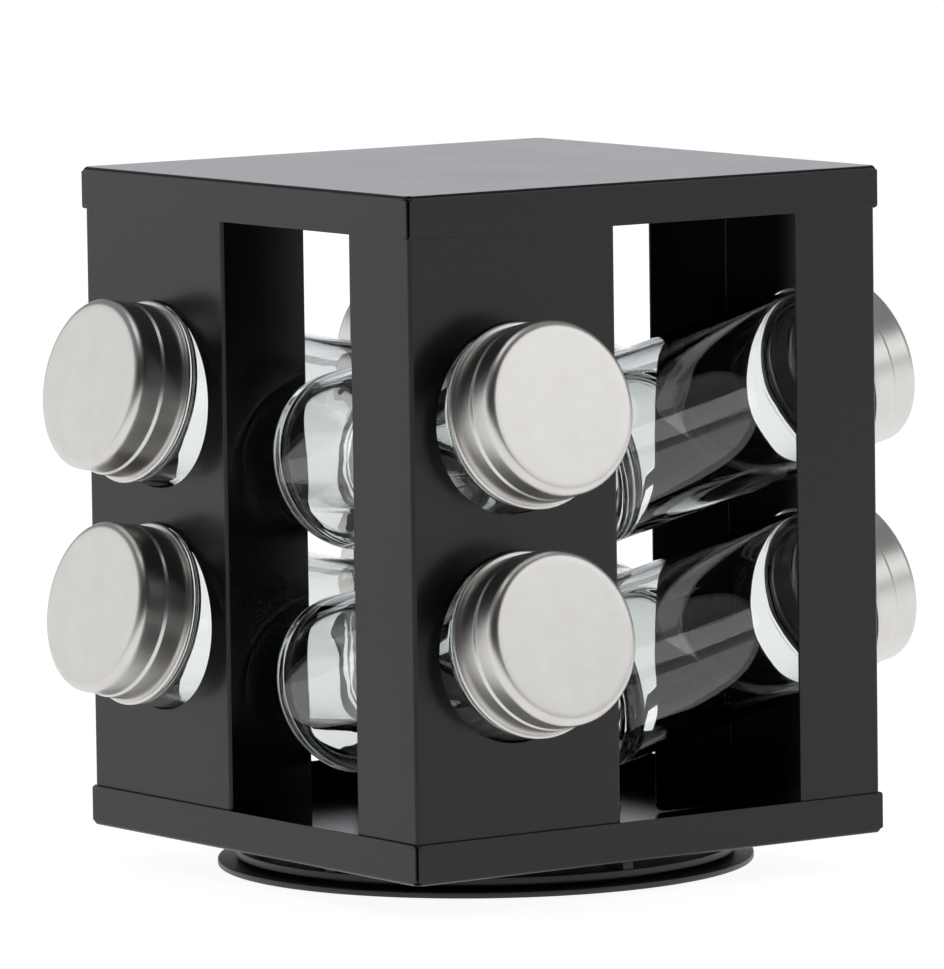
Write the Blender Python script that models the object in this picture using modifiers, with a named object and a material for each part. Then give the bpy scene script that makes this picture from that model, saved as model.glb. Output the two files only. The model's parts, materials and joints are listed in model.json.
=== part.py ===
"""Spice carousel: a square sheet-steel rack of eight tilted screw-cap jars on a ball-bearing turntable.

Run it with: blender --background --python part.py
Units are metres, +Z is up. The origin is on the surface it stands on, under the turntable's centre.
Each of the four sides carries one column with two jar holes, and is the side before it turned by a quarter.
"""

import math

import bmesh
import bpy
from mathutils import Matrix, Vector

# Rack
SIDE = 0.150  # outer width of the cover and the tray
BOX_HEIGHT = 0.175  # underside of the tray to the top of the cover
SHEET = 0.0006  # sheet steel
GAP = 0.0003  # between pieces that touch
COVER_RIM = 0.011
TRAY_RIM = 0.0105
FOLD_RADIUS = 0.001
CORNER_SLIT = 0.0007  # open corner between two rims
RELIEF_RADIUS = 0.001  # round notch where two fold lines meet
SLIT_FLARE = 0.0014  # rounding of the rims' free corners
SIDES = 4
QUARTER_TURN = math.tau / SIDES

# Columns
WIDE_PANEL = 0.0642
NARROW_FLANGE = 0.026
RETURN_FLANGE = 0.0256
FLANGE_CORNER = 0.0025
HOLE_RADIUS = 0.0244
HOLE_PITCH = 0.0584  # from the upper hole to the lower one
HOLE_SEGMENTS = 36

# Jars, in each jar's own frame: its axis is +Z, out of the rack, and 0 is the panel's outer face
TILT = math.radians(12.35)
JAR_RADIUS = 0.0234
JAR_WALL = 0.002
JAR_FOOT = -0.0774  # the end of the jar inside the rack
JAR_FLOOR = 0.0034
SHOULDER = 0.0047
NECK_RADIUS = 0.0210
NECK_WALL = 0.0024
LIP = 0.0194
LINER_THICKNESS = 0.0008
CAP_FACE = 0.0213
CAP_SHEET = 0.0005
CAP_EDGE = 0.0055
CAP_RADIUS = 0.0226
CAP_BORE = 0.0215
CURL_RADIUS = 0.0242
ROUND_SEGMENTS = 20

# Turntable
TRAY_HEIGHT = 0.0090  # surface to the tray's underside
BASE_UNDERSIDE = 0.0008
BASE_RADIUS = 0.0707
BASE_THICKNESS = 0.0017
BASE_FLOOR = 0.0018
BASE_WALL_RADIUS = 0.0620
BASE_WALL_TOP = 0.0036
HUB_RADIUS = 0.0040
HUB_TOP = 0.0058
HUB_HOLE_RADIUS = 0.0018
HUB_HOLE_BOTTOM = 0.0014
TOP_RADIUS = 0.0660
TOP_UNDERSIDE = 0.0042
TOP_FACE = 0.0056
TOP_RIM_BOTTOM = 0.0035
RIM_WIDTH = 0.0035
RACE_RADIUS = 0.050
RACE_DEPTH = 0.0002
BALL_RADIUS = 0.00125
BALL_PLAY = 0.00015
BALLS = 8
CAGE_WIDTH = 0.008
CAGE_THICKNESS = 0.001
SPACERS = 5
SPACER_SIZE = 0.003
FIRST_SPACER = math.radians(-73.5)
SCREW_CIRCLE = 0.044
SCREW_ANGLE = math.radians(5)
SCREW_SHANK_RADIUS = 0.0014
SCREW_HEAD_RADIUS = 0.0028
SCREW_HEAD_HEIGHT = 0.0016
BOSS_RADIUS = 0.0035
BOSS_SKIN = 0.0004  # plastic left under a screw's blind hole
FOOT_CIRCLE = 0.058
FOOT_RADIUS = 0.005
FOOT_HEIGHT = 0.001
WASHER_RADIUS = 0.007
WASHER_THICKNESS = 0.0005
WASHER_PLAY = 0.0002  # above and below the washer
PIVOT_HEAD_RADIUS = 0.0036
TURNTABLE_SEGMENTS = 40

MERGE = 0.00001  # merge distance at a turned shape's axis
HALF = SIDE / 2
PANEL = HALF - SHEET - GAP  # the columns' outer faces stand just inside the rims
BOX_TOP = TRAY_HEIGHT + BOX_HEIGHT
BOX_MIDDLE = TRAY_HEIGHT + BOX_HEIGHT / 2
SHELF_SIDES = (HOLE_PITCH / 2, -HOLE_PITCH / 2)  # upper and lower jar of each side


def clear_scene():
    for thing in list(bpy.data.objects):
        bpy.data.objects.remove(thing, do_unlink=True)


def make_collection(name):
    collection = bpy.data.collections.new(name)
    bpy.context.scene.collection.children.link(collection)
    return collection


def make_material(name, colour, roughness, metallic=0.0, transmission=0.0):
    material = bpy.data.materials.new(name)
    material.use_nodes = True
    shader = material.node_tree.nodes["Principled BSDF"]
    shader.inputs["Base Color"].default_value = (*colour, 1.0)
    shader.inputs["Roughness"].default_value = roughness
    shader.inputs["Metallic"].default_value = metallic
    shader.inputs["Transmission Weight"].default_value = transmission
    return material


def make_empty(name, parent=None, location=(0.0, 0.0, 0.0), rotation=(0.0, 0.0, 0.0)):
    empty = bpy.data.objects.new(name, None)
    empty.empty_display_size = 0.01
    empty.parent = parent
    empty.location = location
    empty.rotation_euler = rotation
    parts.objects.link(empty)
    return empty


def make_part(name, mesh, material, parent=None, location=(0.0, 0.0, 0.0), rotation=(0.0, 0.0, 0.0)):
    part = bpy.data.objects.new(name, mesh)
    if not mesh.materials:
        mesh.materials.append(material)
    part.parent = parent
    part.location = location
    part.rotation_euler = rotation
    parts.objects.link(part)
    return part


def make_tool(name, mesh, parent=None):
    """A solid that only cuts, or is joined to, a part."""
    tool = bpy.data.objects.new(name, mesh)
    tool.hide_render = True
    tool.display_type = "WIRE"
    tool.parent = parent
    tools.objects.link(tool)
    return tool


def combine(part, tool, operation="DIFFERENCE"):
    modifier = part.modifiers.new(tool.name, "BOOLEAN")
    modifier.operation = operation
    modifier.solver = "EXACT"
    modifier.object = tool


def finish_mesh(bm, name):
    mesh = bpy.data.meshes.new(name)
    bmesh.ops.recalc_face_normals(bm, faces=bm.faces)
    bm.to_mesh(mesh)
    bm.free()
    return mesh


def outline_mesh(name, points, closed=False):
    """The half section of a turned shape: points (radius, height), down the outer side."""
    edges = [(i, i + 1) for i in range(len(points) - 1)]
    if closed:
        edges.append((len(points) - 1, 0))
    mesh = bpy.data.meshes.new(name)
    mesh.from_pydata([(radius, 0.0, height) for radius, height in points], edges, [])
    return mesh


def turn(part, segments):
    screw = part.modifiers.new("Turned", "SCREW")
    screw.axis = "Z"
    screw.steps = segments
    screw.render_steps = segments
    screw.use_merge_vertices = True
    screw.merge_threshold = MERGE
    screw.use_smooth_shade = True
    return part


def cylinder_mesh(name, radius, low, high, centres, segments):
    """Upright cylinders between two heights, one at each centre (x, y)."""
    bm = bmesh.new()
    for x, y in centres:
        place = Matrix.Translation((x, y, (low + high) / 2))
        bmesh.ops.create_cone(
            bm,
            cap_ends=True,
            segments=segments,
            radius1=radius,
            radius2=radius,
            depth=high - low,
            matrix=place,
        )
    return finish_mesh(bm, name)


def on_circle(radius, count, first=0.0):
    """Evenly spaced points (x, y) on a circle."""
    angles = [first + math.tau * i / count for i in range(count)]
    return [(radius * math.cos(angle), radius * math.sin(angle)) for angle in angles]


def corner_tool_mesh(name, shape, height):
    """The same small cutter at the four corners of the rack, each turned to face its corner."""
    bm = bmesh.new()
    for i in range(SIDES):
        facing = Matrix.Rotation(QUARTER_TURN * (i + 0.5), 4, "Z")
        reach = Matrix.Translation((HALF * math.sqrt(2), 0.0, height))
        shape(bm, facing @ reach)
    return finish_mesh(bm, name)


def add_slit(bm, place):
    """A thin upright plate along the corner's diagonal, as tall as the rim."""
    size = Matrix.Diagonal((0.006, CORNER_SLIT, COVER_RIM * 2, 1.0))
    bmesh.ops.create_cube(bm, size=1.0, matrix=place @ Matrix.Translation((0, 0, COVER_RIM)) @ size)


def add_relief(bm, place):
    """A round notch along the corner's diagonal, where the fold lines meet."""
    along = Matrix.Rotation(math.pi / 2, 4, "Y")
    bmesh.ops.create_cone(
        bm,
        cap_ends=True,
        segments=12,
        radius1=RELIEF_RADIUS,
        radius2=RELIEF_RADIUS,
        depth=0.006,
        matrix=place @ along,
    )


def add_flare(bm, place):
    """A square bar along the diagonal, standing on its edge, which opens the slit's end into a V."""
    side = SLIT_FLARE * math.sqrt(2)
    size = Matrix.Diagonal((0.006, side, side, 1.0))
    bmesh.ops.create_cube(bm, size=1.0, matrix=place @ Matrix.Rotation(math.pi / 4, 4, "X") @ size)


def folded_tray_mesh(name, rim):
    """An open square tray as a surface: its floor's outside is at height 0 and its rims rise from it."""
    bm = bmesh.new()
    place = Matrix.Translation((0, 0, rim / 2)) @ Matrix.Diagonal((SIDE, SIDE, rim, 1.0))
    bmesh.ops.create_cube(bm, size=1.0, matrix=place)
    folds = [edge for edge in bm.edges if all(v.co.z < rim / 2 for v in edge.verts)]
    bmesh.ops.bevel(
        bm,
        geom=folds,
        offset=FOLD_RADIUS,
        segments=3,
        profile=0.5,
        affect="EDGES",
    )
    bmesh.ops.recalc_face_normals(bm, faces=bm.faces)
    mouth = [face for face in bm.faces if face.normal.z > 0.9]
    bmesh.ops.delete(bm, geom=mouth, context="FACES")
    mesh = bpy.data.meshes.new(name)
    bm.to_mesh(mesh)
    bm.free()
    return mesh


def make_folded_tray(name, rim, location, rotation):
    tray = make_part(name, folded_tray_mesh(name, rim), painted_steel, carousel, location, rotation)
    thicken(tray)
    for label, shape, height in (
        ("slit", add_slit, FOLD_RADIUS),
        ("relief", add_relief, FOLD_RADIUS * 1.5),
        ("flare", add_flare, rim),
    ):
        tool = make_tool(f"{name}_{label}", corner_tool_mesh(label, shape, height), tray)
        combine(tray, tool)
    return tray


def thicken(part):
    """Gives a surface the sheet's thickness on its inner side."""
    solidify = part.modifiers.new("Sheet", "SOLIDIFY")
    solidify.thickness = SHEET
    solidify.offset = -1.0
    solidify.use_even_offset = True


def bend(corner, before, after, steps=3):
    """Points of a fold at a corner between two straight stretches, as an arc."""
    centre = corner + (before + after) * FOLD_RADIUS
    start = (-after).to_3d()
    swing = math.copysign(math.pi / 2, (-after).cross(-before))
    arc = [Matrix.Rotation(swing * i / steps, 3, "Z") @ start for i in range(steps + 1)]
    return [centre + point.to_2d() * FOLD_RADIUS for point in arc]


def column_mesh(name):
    """A column's outer surface: narrow flange, wide panel and return flange, at the corner (-X, -Y)."""
    right = Vector((1.0, 0.0))
    away = Vector((0.0, 1.0))
    corner = Vector((-PANEL, -PANEL))
    inner_corner = corner + right * WIDE_PANEL
    path = [corner + away * NARROW_FLANGE]
    path += bend(corner, away, right)
    path += bend(inner_corner, -right, away)
    path.append(inner_corner + away * RETURN_FLANGE)
    low = TRAY_HEIGHT + SHEET + GAP
    high = BOX_TOP - SHEET - GAP
    bm = bmesh.new()
    lower = [bm.verts.new((*point, low)) for point in path]
    upper = [bm.verts.new((*point, high)) for point in path]
    for i in range(len(path) - 1):
        bm.faces.new((lower[i], lower[i + 1], upper[i + 1], upper[i]))
    bmesh.ops.bevel(
        bm,
        geom=[lower[-1], upper[-1]],
        offset=FLANGE_CORNER,
        segments=4,
        profile=0.5,
        affect="VERTICES",
    )
    mesh = bpy.data.meshes.new(name)
    bm.to_mesh(mesh)
    bm.free()
    return mesh


def hole_centre(offset):
    """Centre of a jar hole on the front panel, at a height above or below the rack's middle."""
    return (-PANEL + WIDE_PANEL / 2, -PANEL, BOX_MIDDLE + offset)


def hole_tool_mesh():
    """Both jar holes of a column: level cylinders through the wide panel."""
    bm = bmesh.new()
    level = Matrix.Rotation(math.pi / 2, 4, "X")
    for offset in SHELF_SIDES:
        bmesh.ops.create_cone(
            bm,
            cap_ends=True,
            segments=HOLE_SEGMENTS,
            radius1=HOLE_RADIUS,
            radius2=HOLE_RADIUS,
            depth=0.01,
            matrix=Matrix.Translation(hole_centre(offset)) @ level,
        )
    return finish_mesh(bm, "jar_holes")


def jar_outline():
    """Half section of the glass: inside of the floor, mouth, shoulder, wall and pushed-up foot."""
    inside = JAR_RADIUS - JAR_WALL
    floor = JAR_FOOT + JAR_FLOOR
    return [
        (0.0, floor),
        (inside - 0.003, floor),
        (inside, floor + 0.003),
        (inside, SHOULDER - 0.003),
        (NECK_RADIUS - NECK_WALL, SHOULDER),
        (NECK_RADIUS - NECK_WALL, LIP),
        (NECK_RADIUS, LIP),
        (NECK_RADIUS, SHOULDER),
        (JAR_RADIUS - 0.0006, SHOULDER - 0.0006),
        (JAR_RADIUS, SHOULDER - 0.002),
        (JAR_RADIUS, JAR_FOOT + 0.002),
        (JAR_RADIUS - 0.002, JAR_FOOT),
        (JAR_RADIUS - 0.004, JAR_FOOT),
        (JAR_RADIUS - 0.006, JAR_FOOT + 0.0012),
        (0.0, JAR_FOOT + 0.0012),
    ]


def cap_outline():
    """Half section of the pressed cap: face, upper wall, rolled groove, skirt, curled edge and bore."""
    groove = CAP_FACE - 0.008
    skirt = CAP_RADIUS + 0.0003
    return [
        (0.0, CAP_FACE),
        (CAP_RADIUS - 0.001, CAP_FACE),
        (CAP_RADIUS, CAP_FACE - 0.001),
        (CAP_RADIUS, groove + 0.0007),
        (CAP_RADIUS - 0.0006, groove),
        (skirt, groove - 0.0007),
        (skirt, CAP_EDGE + 0.0018),
        (CURL_RADIUS, CAP_EDGE + 0.0010),
        (CURL_RADIUS - 0.0006, CAP_EDGE),
        (CAP_BORE, CAP_EDGE),
        (CAP_BORE, CAP_FACE - CAP_SHEET),
        (0.0, CAP_FACE - CAP_SHEET),
    ]


def liner_outline():
    """Half section of the sealing disc between the jar's lip and the cap."""
    top = LIP + GAP + LINER_THICKNESS
    rim = CAP_BORE - 0.0005
    return [(0.0, top), (rim, top), (rim, LIP + GAP), (0.0, LIP + GAP)]


def race(radius, surface, depth):
    """A shallow groove of a ball race, from its inner edge to its outer edge."""
    half = BALL_RADIUS * 0.7
    return [
        (radius - half, surface),
        (radius - half / 2, surface + depth),
        (radius + half / 2, surface + depth),
        (radius + half, surface),
    ]


def base_outline():
    """Half section of the turntable's base: blind hub, floor with its race, low wall and flat lip."""
    lip_top = BASE_UNDERSIDE + BASE_THICKNESS
    edge = 0.0004
    return [
        (0.0, HUB_HOLE_BOTTOM),
        (HUB_HOLE_RADIUS, HUB_HOLE_BOTTOM),
        (HUB_HOLE_RADIUS, HUB_TOP),
        (HUB_RADIUS, HUB_TOP),
        (HUB_RADIUS, BASE_FLOOR),
        *race(RACE_RADIUS, BASE_FLOOR, -RACE_DEPTH),
        (BASE_WALL_RADIUS - 0.0022, BASE_FLOOR),
        (BASE_WALL_RADIUS - 0.0022, BASE_WALL_TOP),
        (BASE_WALL_RADIUS, BASE_WALL_TOP),
        (BASE_WALL_RADIUS, lip_top),
        (BASE_RADIUS - edge, lip_top),
        (BASE_RADIUS, lip_top - edge),
        (BASE_RADIUS, BASE_UNDERSIDE + edge),
        (BASE_RADIUS - edge, BASE_UNDERSIDE),
        (0.0, BASE_UNDERSIDE),
    ]


def top_outline():
    """Half section of the turntable's top disc: a plate with a race below it and a deeper rim."""
    edge = 0.0004
    under = race(RACE_RADIUS, TOP_UNDERSIDE, RACE_DEPTH)
    return [
        (HUB_RADIUS + GAP, TOP_FACE),
        (TOP_RADIUS - edge, TOP_FACE),
        (TOP_RADIUS, TOP_FACE - edge),
        (TOP_RADIUS, TOP_RIM_BOTTOM),
        (TOP_RADIUS - RIM_WIDTH, TOP_RIM_BOTTOM),
        (TOP_RADIUS - RIM_WIDTH, TOP_UNDERSIDE),
        *reversed(under),
        (HUB_RADIUS + GAP, TOP_UNDERSIDE),
    ]


def cage_outline():
    """Half section of the flat ring that keeps the balls apart."""
    middle = BASE_FLOOR - RACE_DEPTH + BALL_PLAY + BALL_RADIUS
    outer = RACE_RADIUS + CAGE_WIDTH / 2
    inner = RACE_RADIUS - CAGE_WIDTH / 2
    top = middle + CAGE_THICKNESS / 2
    bottom = middle - CAGE_THICKNESS / 2
    return [(inner, top), (outer, top), (outer, bottom), (inner, bottom)]


def screw_outline(head_radius, head_height, shank_radius, length):
    """Half section of a pan-head screw: 0 is under its head."""
    dome = head_height * 0.4
    return [
        (0.0, head_height),
        (head_radius * 0.6, head_height),
        (head_radius, head_height - dome),
        (head_radius, 0.0),
        (shank_radius, 0.0),
        (shank_radius, -length + shank_radius),
        (0.0, -length),
    ]


def make_columns_and_jars():
    column = column_mesh("column")
    holes = hole_tool_mesh()
    jar = outline_mesh("jar", jar_outline())
    cap = outline_mesh("jar_cap", cap_outline())
    liner = outline_mesh("cap_liner", liner_outline())
    number = 0
    for side in range(SIDES):
        quarter = make_empty(f"side_{side + 1}", carousel, rotation=(0.0, 0.0, QUARTER_TURN * side))
        panel = make_part(f"column_{side + 1}", column, painted_steel, quarter)
        thicken(panel)
        combine(panel, make_tool(f"jar_holes_{side + 1}", holes, quarter))
        for offset in SHELF_SIDES:
            number += 1
            lean = (math.pi / 2 - TILT, 0.0, 0.0)
            seat = make_empty(f"jar_seat_{number}", quarter, hole_centre(offset), lean)
            turn(make_part(f"jar_{number}", jar, glass, seat), ROUND_SEGMENTS)
            turn(make_part(f"jar_cap_{number}", cap, stainless, seat), ROUND_SEGMENTS)
            turn(make_part(f"cap_liner_{number}", liner, liner_foam, seat), ROUND_SEGMENTS)


def make_tray_and_cover():
    tray = make_folded_tray("base_tray", TRAY_RIM, (0.0, 0.0, TRAY_HEIGHT), (0.0, 0.0, 0.0))
    make_folded_tray("top_cover", COVER_RIM, (0.0, 0.0, BOX_TOP), (math.pi, 0.0, 0.0))
    clearance = SCREW_SHANK_RADIUS + GAP
    centres = on_circle(SCREW_CIRCLE, SIDES, SCREW_ANGLE)
    holes = cylinder_mesh("tray_holes", clearance, -0.001, 0.002, centres, 12)
    combine(tray, make_tool("tray_screw_holes", holes, tray))


def make_turntable_base():
    outline = outline_mesh("turntable_base", base_outline())
    base = turn(make_part("turntable_base", outline, black_plastic), TURNTABLE_SEGMENTS)
    centres = on_circle(FOOT_CIRCLE, SIDES, QUARTER_TURN / 2)
    pocket = cylinder_mesh("pockets", FOOT_RADIUS + GAP, 0.0, FOOT_HEIGHT + GAP, centres, 20)
    combine(base, make_tool("foot_pockets", pocket))
    pad = cylinder_mesh("foot", FOOT_RADIUS, 0.0, FOOT_HEIGHT, [(0.0, 0.0)], 20)
    for i, (x, y) in enumerate(centres):
        make_part(f"rubber_foot_{i + 1}", pad, rubber, location=(x, y, 0.0))


def spacer_mesh(high):
    """Short blocks on the rim of the top disc, on which the tray stands."""
    bm = bmesh.new()
    low = TOP_FACE - 0.0008
    size = Matrix.Diagonal((SPACER_SIZE, SPACER_SIZE, high - low, 1.0))
    for i in range(SPACERS):
        facing = Matrix.Rotation(FIRST_SPACER + math.tau * i / SPACERS, 4, "Z")
        reach = Matrix.Translation((TOP_RADIUS - SPACER_SIZE / 2 - 0.0004, 0.0, (low + high) / 2))
        bmesh.ops.create_cube(bm, size=1.0, matrix=facing @ reach @ size)
    return finish_mesh(bm, "spacers")


def make_turntable_top():
    outline = outline_mesh("turntable_top", top_outline(), closed=True)
    top = turn(make_part("turntable_top", outline, black_plastic, carousel), TURNTABLE_SEGMENTS)
    high = TRAY_HEIGHT - GAP
    centres = on_circle(SCREW_CIRCLE, SIDES, SCREW_ANGLE)
    bosses = cylinder_mesh("bosses", BOSS_RADIUS, TOP_FACE - 0.0008, high, centres, 16)
    combine(top, make_tool("screw_bosses", bosses, carousel), "UNION")
    combine(top, make_tool("tray_spacers", spacer_mesh(high), carousel), "UNION")
    clearance = SCREW_SHANK_RADIUS + GAP
    blind = TOP_UNDERSIDE + BOSS_SKIN
    holes = cylinder_mesh("screw_holes", clearance, blind, TRAY_HEIGHT, centres, 12)
    combine(top, make_tool("boss_holes", holes, carousel))


def make_bearing():
    spin = make_empty("cage_axis")
    outline = outline_mesh("ball_cage", cage_outline(), closed=True)
    cage = turn(make_part("ball_cage", outline, cage_plastic, spin), TURNTABLE_SEGMENTS)
    centres = on_circle(RACE_RADIUS, BALLS)
    pockets = cylinder_mesh("pockets", BALL_RADIUS + GAP, 0.0, TOP_FACE, centres, 12)
    combine(cage, make_tool("ball_pockets", pockets, spin))
    bm = bmesh.new()
    bmesh.ops.create_uvsphere(bm, u_segments=10, v_segments=6, radius=BALL_RADIUS)
    ball = finish_mesh(bm, "bearing_ball")
    ball.shade_smooth()
    middle = BASE_FLOOR - RACE_DEPTH + BALL_PLAY + BALL_RADIUS
    for i, (x, y) in enumerate(centres):
        make_part(f"bearing_ball_{i + 1}", ball, bearing_steel, spin, (x, y, middle))


def make_fasteners():
    washer_low = HUB_TOP + WASHER_PLAY
    washer_high = washer_low + WASHER_THICKNESS
    bore = HUB_HOLE_RADIUS
    ring = [
        (bore, washer_high),
        (WASHER_RADIUS, washer_high),
        (WASHER_RADIUS, washer_low),
        (bore, washer_low),
    ]
    washer = outline_mesh("pivot_washer", ring, closed=True)
    turn(make_part("pivot_washer", washer, zinc_steel), ROUND_SEGMENTS)
    seat = washer_high + WASHER_PLAY
    length = seat - HUB_HOLE_BOTTOM - GAP
    pivot = screw_outline(PIVOT_HEAD_RADIUS, TRAY_HEIGHT - GAP - seat, HUB_HOLE_RADIUS - GAP, length)
    outline = outline_mesh("pivot_screw", pivot)
    turn(make_part("pivot_screw", outline, zinc_steel, location=(0.0, 0.0, seat)), 16)
    seat = TRAY_HEIGHT + SHEET + GAP
    length = seat - TOP_UNDERSIDE - BOSS_SKIN - GAP
    screw = screw_outline(SCREW_HEAD_RADIUS, SCREW_HEAD_HEIGHT, SCREW_SHANK_RADIUS, length)
    outline = outline_mesh("tray_screw", screw)
    for i, (x, y) in enumerate(on_circle(SCREW_CIRCLE, SIDES, SCREW_ANGLE)):
        part = make_part(f"tray_screw_{i + 1}", outline, zinc_steel, carousel, (x, y, seat))
        turn(part, 16)


clear_scene()
parts = make_collection("spice_carousel")
tools = make_collection("cutters")
painted_steel = make_material("satin_black_paint", (0.030, 0.031, 0.033), 0.35)
stainless = make_material("satin_stainless", (0.62, 0.61, 0.59), 0.32, metallic=1.0)
glass = make_material("jar_glass", (0.90, 0.94, 0.92), 0.02, transmission=1.0)
liner_foam = make_material("liner_foam", (0.82, 0.82, 0.80), 0.7)
black_plastic = make_material("black_plastic", (0.025, 0.025, 0.026), 0.45)
cage_plastic = make_material("natural_nylon", (0.75, 0.74, 0.70), 0.5)
bearing_steel = make_material("bearing_steel", (0.65, 0.65, 0.66), 0.12, metallic=1.0)
zinc_steel = make_material("zinc_plated_steel", (0.55, 0.55, 0.54), 0.35, metallic=1.0)
rubber = make_material("black_rubber", (0.02, 0.02, 0.02), 0.85)
carousel = make_empty("carousel_axis")
make_tray_and_cover()
make_columns_and_jars()
make_turntable_top()
make_turntable_base()
make_bearing()
make_fasteners()
bpy.context.view_layer.update()
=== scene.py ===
# %% [markdown]
# # A spice carousel
# Eight glass jars lean in the round holes of a folded steel rack, which turns on a ball-bearing
# turntable. The solids that move and collide are loaded first, and stay as they are. This file
# gives each of them its finished surface: sheet steel with open folded corners, pressed steel caps,
# blown glass and moulded plastic. Every new piece is worked out as an array of points, so a change
# to one number reshapes it.

# %% Load the solids
import json
import math
import bmesh
import bpy
import numpy as np
from mathutils import Matrix, Vector


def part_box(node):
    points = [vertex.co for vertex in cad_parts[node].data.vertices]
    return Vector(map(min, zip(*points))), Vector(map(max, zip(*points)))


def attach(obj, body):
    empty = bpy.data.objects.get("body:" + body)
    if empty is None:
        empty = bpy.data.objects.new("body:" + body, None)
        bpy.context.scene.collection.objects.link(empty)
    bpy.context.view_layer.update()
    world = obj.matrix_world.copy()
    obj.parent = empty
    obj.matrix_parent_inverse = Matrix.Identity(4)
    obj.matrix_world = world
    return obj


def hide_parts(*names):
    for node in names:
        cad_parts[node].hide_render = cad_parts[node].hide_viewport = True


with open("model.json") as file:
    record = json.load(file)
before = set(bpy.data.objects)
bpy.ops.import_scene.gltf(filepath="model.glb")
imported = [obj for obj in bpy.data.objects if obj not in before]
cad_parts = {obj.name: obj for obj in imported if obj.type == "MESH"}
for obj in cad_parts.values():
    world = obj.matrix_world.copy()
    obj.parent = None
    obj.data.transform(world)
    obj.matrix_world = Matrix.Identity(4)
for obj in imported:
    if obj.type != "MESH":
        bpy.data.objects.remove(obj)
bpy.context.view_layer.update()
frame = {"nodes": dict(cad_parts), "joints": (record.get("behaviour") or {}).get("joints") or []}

# %% [markdown]
# ## Sizes
# All lengths are in metres, so a millimetre has a name. The large sizes are read from the solids,
# because the new surfaces have to sit exactly where they do. The small ones, such as the sheet's
# thickness and the radius of a fold, are the trade's usual values.

# %% Sizes read from the solids
MM = 0.001
cover_low, cover_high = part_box("top_cover")
tray_low, tray_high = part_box("base_tray")
column_low, column_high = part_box("column_1")
SIDE = cover_high.x - cover_low.x
COVER_RIM = cover_high.z - cover_low.z
TRAY_RIM = tray_high.z - tray_low.z
SHEET = 0.6 * MM
FOLD = 1.0 * MM
PANEL = -column_low.y
WIDE_PANEL = column_high.x - column_low.x
NARROW_FLANGE = column_high.y - column_low.y
RETURN_FLANGE = NARROW_FLANGE - 0.4 * MM
HOLE_RADIUS = 24.4 * MM
SIDES = 4
print(f"rack {SIDE / MM:.1f} mm wide, rims {COVER_RIM / MM:.1f} and {TRAY_RIM / MM:.1f} mm")

# %% [markdown]
# ## From arrays to meshes
# A surface here is a grid of points, rows by columns. Its faces join each point to its neighbours,
# which is plain index arithmetic on whole arrays. Grids that share an edge are put in one mesh and
# their double points merged. An open sheet is then turned so that its outside faces away from a
# point inside it, because Solidify gives the wall its thickness on the other side.


# %% Grids, meshes and pieces
def grid_faces(rows, columns, around):
    """Each face joins a point to the next in its row, and to the two below: four index arrays side
    by side."""
    index = np.arange(rows * columns).reshape(rows, columns)
    beside = np.roll(index, -1, axis=1)
    if not around:
        index = index[:, :-1]
        beside = beside[:, :-1]
    corners = (index[:-1], beside[:-1], beside[1:], index[1:])
    return np.stack([corner.ravel() for corner in corners], axis=1)


def mesh_of_grids(name, grids, around=False, merge=1e-3 * MM):
    """Puts grids of points, each rows x columns x 3, in one mesh, and merges the points they share."""
    points, faces, start = [], [], 0
    for grid in grids:
        rows, columns = grid.shape[:2]
        points.append(grid.reshape(-1, 3))
        faces.append(grid_faces(rows, columns, around) + start)
        start += rows * columns
    points, faces = np.concatenate(points), np.concatenate(faces)
    mesh = bpy.data.meshes.new(name)
    mesh.vertices.add(len(points))
    mesh.vertices.foreach_set("co", points.astype(np.float32).ravel())
    mesh.loops.add(faces.size)
    mesh.loops.foreach_set("vertex_index", faces.astype(np.int32).ravel())
    mesh.polygons.add(len(faces))
    mesh.polygons.foreach_set("loop_start", np.arange(0, faces.size, 4, dtype=np.int32))
    mesh.update(calc_edges=True)
    mesh.validate()
    bm = bmesh.new()
    bm.from_mesh(mesh)
    bmesh.ops.remove_doubles(bm, verts=bm.verts, dist=merge)
    bmesh.ops.recalc_face_normals(bm, faces=bm.faces)
    bm.to_mesh(mesh)
    bm.free()
    return mesh


def face_away(mesh, inside):
    """Turns a sheet over if its faces, weighted by area, look towards the point inside rather than
    away."""
    count = len(mesh.polygons)
    normals, centres, areas = np.zeros(count * 3), np.zeros(count * 3), np.zeros(count)
    mesh.polygons.foreach_get("normal", normals)
    mesh.polygons.foreach_get("center", centres)
    mesh.polygons.foreach_get("area", areas)
    outward = centres.reshape(-1, 3) - np.array(inside)
    if ((normals.reshape(-1, 3) * outward).sum(axis=1) * areas).sum() < 0:
        mesh.flip_normals()
    return mesh


def keep_own_place(mesh, place):
    """Stores each point's place in the piece's own frame, so that a pattern can follow a tilted
    piece."""
    world = np.zeros(len(mesh.vertices) * 3)
    mesh.vertices.foreach_get("co", world)
    inverse = np.array(place.inverted())
    own = world.reshape(-1, 3) @ inverse[:3, :3].T + inverse[:3, 3]
    attribute = mesh.attributes.new("own_place", "FLOAT_VECTOR", "POINT")
    attribute.data.foreach_set("vector", own.astype(np.float32).ravel())


def make_piece(name, mesh, material, body, node, crease=35):
    """A finished piece: its mesh in place, its finish, the body it moves with and the solid it
    stands for."""
    mesh.shade_smooth()
    mesh.set_sharp_from_angle(angle=math.radians(crease))
    mesh.materials.append(material)
    piece = bpy.data.objects.new(name, mesh)
    bpy.context.scene.collection.objects.link(piece)
    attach(piece, body)
    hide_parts(node)
    return piece


# %% [markdown]
# ## Turned shapes
# Caps, jars and the turntable are round, so each is an outline of (radius, height) points carried
# round an axis. The outline is drawn as corners with a rounding radius each, and every corner
# becomes an arc that touches both its neighbours. This is how a press tool or a glass mould is
# dimensioned on a drawing.


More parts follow.
